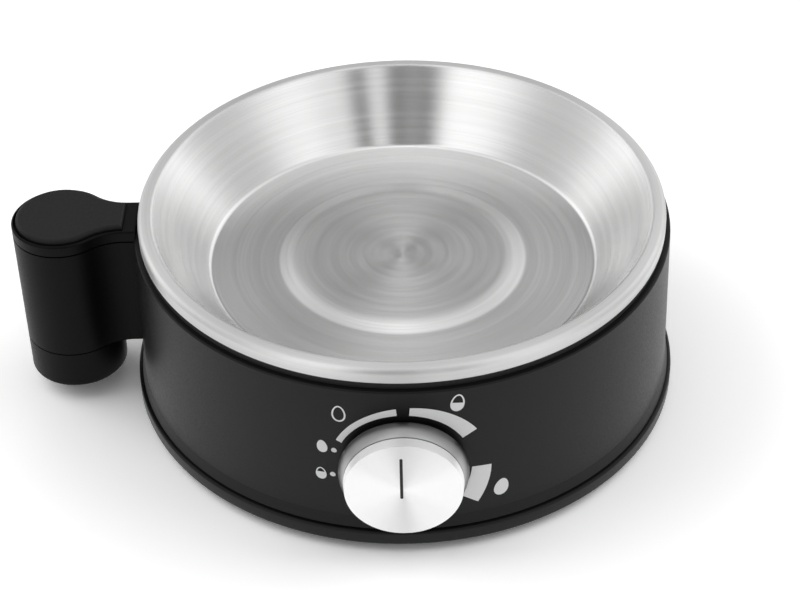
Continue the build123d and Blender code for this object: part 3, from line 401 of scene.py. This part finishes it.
def rubber(name, level):
    """Matt grey rubber with a powdery skin."""
    material, tree, shader = new_material(name)
    fine = noise(tree, place_vector(tree), RUBBER_GRAIN, 4.0)
    dark, light = (level,) * 3, (RUBBER_LIGHTER * level,) * 3
    feed(tree, tint(tree, ramp(tree, fine, 0.0, 1.0), dark, light), shader.inputs["Base Color"])
    feed(tree, ramp(tree, fine, *RUBBER_ROUGHNESS), shader.inputs["Roughness"])
    bump(tree, shader, fine, RUBBER_DEPTH)
    return material


MATERIALS = {
    "black_plastic": satin_plastic(
        "black_plastic", (0.0055, 0.0055, 0.0056), (0.0068, 0.0068, 0.007), 0.4, shine=0.18
    ),
    "tray_steel": brushed_tray(),
    "seal_silicone": rubber("seal_silicone", 0.008),
    "foot_rubber": rubber("foot_rubber", 0.02),
    "aluminium": cast_metal("cast_aluminium", (0.60, 0.61, 0.62), (0.72, 0.72, 0.73), 0.42),
    "plated_steel": cast_metal("zinc_plate", (0.52, 0.53, 0.55), (0.66, 0.67, 0.68), 0.3, 300.0),
    "element_steel": cast_metal("element_tube", (0.20, 0.18, 0.16), (0.38, 0.36, 0.34), 0.45),
    "ceramic": satin_plastic("steatite", (0.72, 0.69, 0.62), (0.82, 0.80, 0.74), 0.65, 600.0, 0.00003),
    "brass": cast_metal("brass", (0.62, 0.44, 0.18), (0.75, 0.56, 0.26), 0.28, 400.0),
    # The dial's skirt, with painted shade and a painted reflection of the black wall towards its back edge
    "chrome": painted_shade_plate("chrome_painted_shade", (0.10, 0.10, 0.10), (0.48, 0.48, 0.48), 0.36),
    "pointer_black": satin_plastic(
        "pointer_black", (0.022, 0.022, 0.022), (0.027, 0.027, 0.027), 0.5, shine=0.2
    ),
    "control_plastic": satin_plastic("control_plastic", (0.40, 0.36, 0.28), (0.48, 0.44, 0.36), 0.5, 500.0),
    "inlay_grey": satin_plastic(
        "grip_pad", (0.006, 0.006, 0.0061), (0.0075, 0.0075, 0.0076), 0.5, 900.0, 0.00002, 0.2
    ),
    "lead_brown": satin_plastic("lead_brown", (0.16, 0.07, 0.03), (0.20, 0.09, 0.04), 0.4, 400.0),
    "lead_blue": satin_plastic("lead_blue", (0.03, 0.10, 0.34), (0.05, 0.14, 0.42), 0.4, 400.0),
    "lead_green": satin_plastic("lead_green", (0.08, 0.32, 0.06), (0.12, 0.42, 0.08), 0.4, 400.0),
    "fuse_case": cast_metal("fuse_case", (0.62, 0.55, 0.40), (0.74, 0.68, 0.52), 0.35, 400.0),
}
CAP = turned_cap()
# The grip: a darker copy of the black plastic, painted shade for the dimmer light on its side
GRIP_PAINTED_SHADE = satin_plastic("grip_plastic_painted_shade", (0.0018, 0.0018, 0.0019), (0.0024, 0.0024, 0.0025), 0.42, shine=0.09)
PRINT = satin_plastic("scale_print", (0.79, 0.79, 0.79), (0.84, 0.84, 0.84), 0.5, 1200.0, 0.000004, 0.3)


def dress_nodes():
    """Give every CAD node the material of its slot, the cap its own, and the grip a darker copy of the black
    plastic with painted shade.
    """
    slots = {part["node"]: part["material_slot"] for part in frame["record"]["subparts"]}
    own = {"knob_cap": CAP, "grip_body": GRIP_PAINTED_SHADE, "grip_foot": GRIP_PAINTED_SHADE, "grip_top": GRIP_PAINTED_SHADE}
    for name, piece in nodes.items():
        piece.data.materials.clear()
        piece.data.materials.append(own.get(name, MATERIALS[slots[name]]))


# Finer meshes for the round pieces that the light runs along

def between(first, last, steps):
    """Evenly spaced values or places from the first to the last."""
    return [first + (last - first) * (i / steps) for i in range(steps + 1)]


def linked(name, data):
    """A new object of the scene."""
    piece = bpy.data.objects.new(name, data)
    bpy.context.scene.collection.objects.link(piece)
    return piece


def about_tray(radius, along, turn):
    """A place given by its distance from the tray's axis, its height and its direction."""
    return Vector((radius * math.cos(turn), radius * math.sin(turn), along)) * MM


def about_dial(radius, along, turn):
    """A place given by its distance from the dial's axis, its distance from the tray's and a turn."""
    return Vector((radius * math.sin(turn), -along, KNOB_Z + radius * math.cos(turn))) * MM


def rounded(corners, radii, steps=10, edge=0.06):
    """An open profile with its inner corners rounded and a point near both ends of each straight."""
    spots = [Vector(spot) for spot in corners]
    points = [spots[0]]
    for before, corner, after, radius in zip(spots, spots[1:], spots[2:], radii):
        back, ahead = (before - corner).normalized(), (after - corner).normalized()
        half = back.angle(ahead) / 2
        reach = radius / math.tan(half)
        middle = corner + (back + ahead).normalized() * (radius / math.sin(half))
        start, end = ((corner + way * reach - middle).normalized() for way in (back, ahead))
        points.append(corner + back * (reach + edge))
        points += [middle + start.slerp(end, i / steps) * radius for i in range(steps + 1)]
        points.append(corner + ahead * (reach + edge))
    return points + [spots[-1]]


def lathe(mesh, profile, place, segments=360):
    """Faces of a profile turned about an axis; a profile point on the axis becomes one pole."""
    rings = []
    for radius, along in profile:
        turns = [2 * math.pi * i / segments for i in range(segments if radius > ON_AXIS else 1)]
        rings.append([mesh.verts.new(place(radius, along, turn)) for turn in turns])
    for here, there in zip(rings, rings[1:]):
        for i in range(segments):
            spots = [(here, i), (there, i), (there, i + 1), (here, i + 1)]
            mesh.faces.new(list(dict.fromkeys(ring[k % len(ring)] for ring, k in spots)))


def stand_in(node, mesh, body, slot):
    """A finished piece from a mesh that stands for a CAD node."""
    bmesh.ops.remove_doubles(mesh, verts=mesh.verts, dist=WELD)
    bmesh.ops.recalc_face_normals(mesh, faces=mesh.faces)
    for face in mesh.faces:
        face.smooth = True
    for edge in mesh.edges:
        edge.smooth = edge.calc_face_angle(OPEN_EDGE) < SHARP_EDGE
    data = bpy.data.meshes.new("fine_" + node)
    mesh.to_mesh(data)
    mesh.free()
    if "custom_normal" in data.attributes:
        data.attributes.remove(data.attributes["custom_normal"])
    piece = linked("fine_" + node, data)
    data.materials.append(MATERIALS[slot])
    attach(piece, body)
    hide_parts(node)


def refaced(node, outer):
    """A copy of a CAD node's mesh without the band of faces that lies wholly in its outer zone."""
    mesh = bmesh.new()
    mesh.from_mesh(nodes[node].data)
    bmesh.ops.transform(mesh, matrix=nodes[node].matrix_world, verts=mesh.verts)
    band = [face for face in mesh.faces if all(outer(vert.co / MM) for vert in face.verts)]
    bmesh.ops.delete(mesh, geom=band, context="FACES")
    return mesh


def fine_tray():
    """The pressed steel tray: raised middle, sloped wall, rolled rim and skirt, one sheet thick."""
    mesh = bmesh.new()
    section = rounded(TRAY_ABOVE, TRAY_ABOVE_ROUNDS) + rounded(TRAY_BELOW, TRAY_BELOW_ROUNDS)
    lathe(mesh, section, about_tray)
    stand_in("water_tray", mesh, "base", "tray_steel")


def fine_cover():
    """The bottom cover with a finer edge round its flange."""
    inner, slack = FLANGE_RADIUS - FLANGE_ROUND, 0.02
    mesh = refaced("bottom_cover", lambda spot: math.hypot(spot.x, spot.y) > inner - slack)
    corners = (
        (inner, FLANGE_BOTTOM), (FLANGE_RADIUS, FLANGE_BOTTOM),
        (FLANGE_RADIUS, FLANGE_TOP), (inner, FLANGE_TOP),
    )
    lathe(mesh, rounded(corners, (FLANGE_ROUND, FLANGE_ROUND), edge=0.0), about_tray)
    stand_in("bottom_cover", mesh, "base", "black_plastic")


def fine_skirt():
    """The dial's skirt with a flank that curves in towards the cap."""
    depth, slack = SKIRT_FRONT - SKIRT_BACK, 0.01

    def outer(spot):
        """Whether a spot lies on or outside the straight line between the flank's ends."""
        chord = SKIRT_RADIUS - SKIRT_FALL * (-spot.y - SKIRT_BACK) / depth
        return math.hypot(spot.x, spot.z - KNOB_Z) > chord - slack

    mesh = refaced("knob_skirt", outer)
    flank = [
        (SKIRT_RADIUS - SKIRT_FALL * share**2, SKIRT_BACK + depth * share)
        for share in between(0.0, 1.0, FLANK_STEPS)
    ]
    lathe(mesh, flank, about_dial)
    stand_in("knob_skirt", mesh, "dial", "chrome")


# Printed scale on the housing, in places (across, up) in millimetres from the dial's axis

def wall_radius(z):
    """Radius of the housing's printed wall at a height, in millimetres."""
    share = (WALL_TOP_Z - z) / (WALL_TOP_Z - WALL_LOW_Z)
    return WALL_TOP_RADIUS + (WALL_LOW_RADIUS - WALL_TOP_RADIUS) * share


def on_wall(across, up):
    """Place on the printed wall: arc length right of the dial, height above its axis."""
    z = KNOB_Z + up
    radius = wall_radius(z) + PRINT_LIFT
    angle = across / wall_radius(z)
    return Vector((radius * math.sin(angle), -radius * math.cos(angle), z)) * MM


def make_print(name, outline_rows):
    """A thin printed patch that rides on the base, from rows of places, thickened inwards."""
    mesh = bmesh.new()
    rows = [[mesh.verts.new(on_wall(*spot)) for spot in row] for row in outline_rows]
    for row, following in zip(rows, rows[1:]):
        for i in range(len(row) - 1):
            mesh.faces.new((row[i], row[i + 1], following[i + 1], following[i]))
    bmesh.ops.recalc_face_normals(mesh, faces=mesh.faces)
    if sum(face.normal.y for face in mesh.faces) > 0:
        bmesh.ops.reverse_faces(mesh, faces=mesh.faces)
    data = bpy.data.meshes.new(name)
    mesh.to_mesh(data)
    mesh.free()
    piece = linked(name, data)
    data.materials.append(PRINT)
    thick = piece.modifiers.new("ink", "SOLIDIFY")
    thick.thickness = PRINT_DEPTH * MM
    thick.offset = -1.0
    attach(piece, "base")


def scale_band(name, stations, steps=10):
    """A thickening arc round the dial, through stations of angle, inner radius and outer radius."""
    rows = []
    for here, there in zip(stations, stations[1:]):
        for i in range(steps + 1 if there is stations[-1] else steps):
            angle, inner, outer = (a + (b - a) * i / steps for a, b in zip(here, there))
            way = Vector((math.sin(math.radians(angle)), math.cos(math.radians(angle))))
            rows.append(between(inner * way, outer * way, PRINT_COLUMNS))
    make_print(name, rows)


def egg_point(centre, width, height, turn, lean):
    """A place on the outline of an egg, blunt end down, that leans clockwise by some degrees."""
    up = -math.cos(turn)
    across = math.sin(turn) * (1.0 - EGG_TAPER * up)
    x, y = across * width / 2, up * height / 2
    c, s = math.cos(math.radians(lean)), math.sin(math.radians(lean))
    return Vector((centre[0] + x * c + y * s, centre[1] - x * s + y * c))


def egg_ring(name, centre, width, height, stroke, lean=0.0, steps=72):
    """An egg drawn as an outline of one stroke width."""
    rows = []
    for turn in between(0.0, 2 * math.pi, steps):
        outer = egg_point(centre, width, height, turn, lean)
        inner = egg_point(centre, width - 2 * stroke, height - 2 * stroke, turn, lean)
        rows.append(between(outer, inner, 2))
    make_print(name, rows)


def egg_part(name, centre, width, height, low, high, lean=0.0, steps=28):
    """The part of an egg between two shares of its height, measured from its blunt end."""
    rows = []
    for turn in between(math.acos(1 - 2 * low), math.acos(1 - 2 * high), steps):
        left, right = (egg_point(centre, width, height, side * turn, lean) for side in (-1, 1))
        rows.append(between(left, right, PRINT_COLUMNS))
    make_print(name, rows[1:-1] if (low, high) == (0, 1) else rows)


def egg(name, centre, width, height, lean=0.0):
    """A filled egg."""
    egg_part(name, centre, width, height, 0, 1, lean, EGG_STEPS)


def print_scale():
    """The three bands, the egg signs and the two dots."""
    for name, stations in SCALE_BANDS.items():
        scale_band(name, stations)
    egg_ring("sign_soft", (-18.55, 19.9), 4.15, 5.9, STROKE)
    egg_ring("sign_medium", (15.9, 23.9), 4.15, 6.2, STROKE, 8.0)
    egg_part("sign_medium_yolk", (15.9, 23.9), 3.9, 6.0, 0.02, 0.50, 8.0)
    egg("sign_hard", (29.4, -11.8), 4.5, 6.3, 12.0)
    egg("sign_small_full", (-24.0, 6.5), 3.2, 4.6, -5.0)
    egg_ring("sign_small_part", (-24.7, -4.1), 3.3, 4.5, SMALL_STROKE, -3.0)
    egg_part("sign_small_part_fill", (-24.7, -4.1), 3.1, 4.3, 0.02, 0.62, -3.0)
    egg("dot_upper", (-20.4, 5.7), DOT, DOT)
    egg("dot_lower", (-21.1, -3.8), DOT, DOT)


# Stage, light and camera

def floor_paper():
    """Paper that is white to the camera and keeps shadows; in reflections it has painted light, glowing near
    the object and darkening away from it.
    """
    material, tree, shader = new_material("floor", Roughness=FLOOR_ROUGHNESS, Specular_IOR_Level=0.0)
    output = next(node for node in tree.nodes if node.type == "OUTPUT_MATERIAL")
    rays = add_node(tree, "ShaderNodeLightPath").outputs
    glossy = rays["Is Glossy Ray"]
    distance = vector_node(tree, "LENGTH", place_vector(tree)).outputs["Value"]
    # Painted light: in reflections the paper glows near the object and its colour darkens away from it
    near = ramp(tree, distance, 1.0, TABLE_FAR, *TABLE_REACH)
    reflected = tint(tree, combine(tree, "MULTIPLY", near, glossy), (0, 0, 0), PAPER)
    seen = tint(tree, rays["Is Camera Ray"], PAPER, PAPER_SEEN)
    dull = combine(tree, "SUBTRACT", 1.0, glossy)
    feed(tree, tint(tree, dull, reflected, seen), shader.inputs["Base Color"])
    glow = add_node(tree, "ShaderNodeEmission")
    feed(tree, combine(tree, "MULTIPLY", near, PAINTED_GLOW), glow.inputs["Strength"])
    lift = add_node(tree, "ShaderNodeAddShader")
    feed(tree, shader.outputs["BSDF"], lift.inputs[0])
    feed(tree, glow.outputs[0], lift.inputs[1])
    choose = add_node(tree, "ShaderNodeMixShader")
    feed(tree, glossy, choose.inputs["Fac"])
    feed(tree, shader.outputs["BSDF"], choose.inputs[1])
    feed(tree, lift.outputs[0], choose.inputs[2])
    feed(tree, choose.outputs[0], output.inputs["Surface"])
    return material


def stage():
    """A pale floor under the object."""
    data = bpy.data.meshes.new("floor")
    mesh = bmesh.new()
    bmesh.ops.create_grid(mesh, x_segments=1, y_segments=1, size=FLOOR_HALF)
    mesh.to_mesh(data)
    mesh.free()
    floor = linked("floor", data)
    data.materials.append(floor_paper())


def studio_ring(tree, share, column):
    """The light of one ring of the studio along a bearing given as a share of the turn."""
    node = add_node(tree, "ShaderNodeFloatCurve")
    node.mapping.use_clip = False
    curve = node.mapping.curves[0]
    spots = [((row[0] + 180) / 360, row[column]) for row in STUDIO]
    curve.points[0].location, curve.points[1].location = spots[0], (1.0, spots[0][1])
    for spot in spots[1:]:
        curve.points.new(*spot)
    for point in curve.points:
        point.handle_type = "VECTOR"
    node.mapping.update()
    feed(tree, share, node.inputs["Value"])
    return node.outputs[0]


def world():
    """White to the eye, the studio in reflections and an even light to everything else."""
    surround = bpy.data.worlds.new("surround")
    bpy.context.scene.world = surround
    surround.use_nodes = True
    tree = surround.node_tree
    way = split(tree, add_node(tree, "ShaderNodeTexCoord").outputs["Generated"])
    turn = combine(tree, "ARCTAN2", way["X"], combine(tree, "MULTIPLY", way["Y"], -1.0))
    share = combine(tree, "ADD", combine(tree, "MULTIPLY", turn, 0.5 / math.pi), 0.5)
    light = studio_ring(tree, share, 1)
    levels = [math.sin(math.radians(height)) for height in STUDIO_HEIGHTS]
    for i in range(1, len(levels)):
        rise = ramp(tree, way["Z"], 0.0, 1.0, levels[i - 1], levels[i])
        step = combine(tree, "SUBTRACT", studio_ring(tree, share, i + 1), studio_ring(tree, share, i))
        light = combine(tree, "ADD", light, combine(tree, "MULTIPLY", rise, step))
    rays = add_node(tree, "ShaderNodeLightPath").outputs
    hidden = blend(tree, rays["Is Glossy Ray"], SURROUND_LEVEL, light)
    background = tree.nodes["Background"]
    background.inputs["Color"].default_value = (1, 1, 1, 1)
    feed(tree, blend(tree, rays["Is Camera Ray"], hidden, 1.0), background.inputs["Strength"])


def soft_box(name, place):
    """A soft square lamp aimed at the object, which reflections don't show."""
    data = bpy.data.lights.new(name, "AREA")
    data.size = LAMP_SIZE
    data.energy = LAMP_POWER
    lamp = linked(name, data)
    lamp.location = place
    lamp.visible_glossy = False
    lamp.rotation_euler = (Vector(LAMP_AIM) - Vector(place)).to_track_quat("-Z", "Y").to_euler()


def lights():
    """Soft boxes left and right of the object, for the close shadow on the floor."""
    across, back, up = LAMP_PLACE
    soft_box("key_left", (-across, back, up))
    soft_box("key_right", (across, back, up))


def camera():
    """The photograph's viewpoint."""
    data = bpy.data.cameras.new("view")
    data.sensor_width = CAMERA_SENSOR
    data.lens = CAMERA_LENS
    data.clip_start, data.clip_end = CAMERA_CLIP
    view = linked("view", data)
    right, up = Vector(CAMERA_RIGHT), Vector(CAMERA_UP)
    turn = Matrix((right, up, right.cross(up))).transposed()
    view.matrix_world = Matrix.Translation(CAMERA_PLACE) @ turn.to_4x4()
    bpy.context.scene.camera = view


camera()
dress_nodes()
fine_tray()
fine_cover()
fine_skirt()
print_scale()
stage()
world()
lights()
bpy.context.scene.view_settings.view_transform = "Standard"
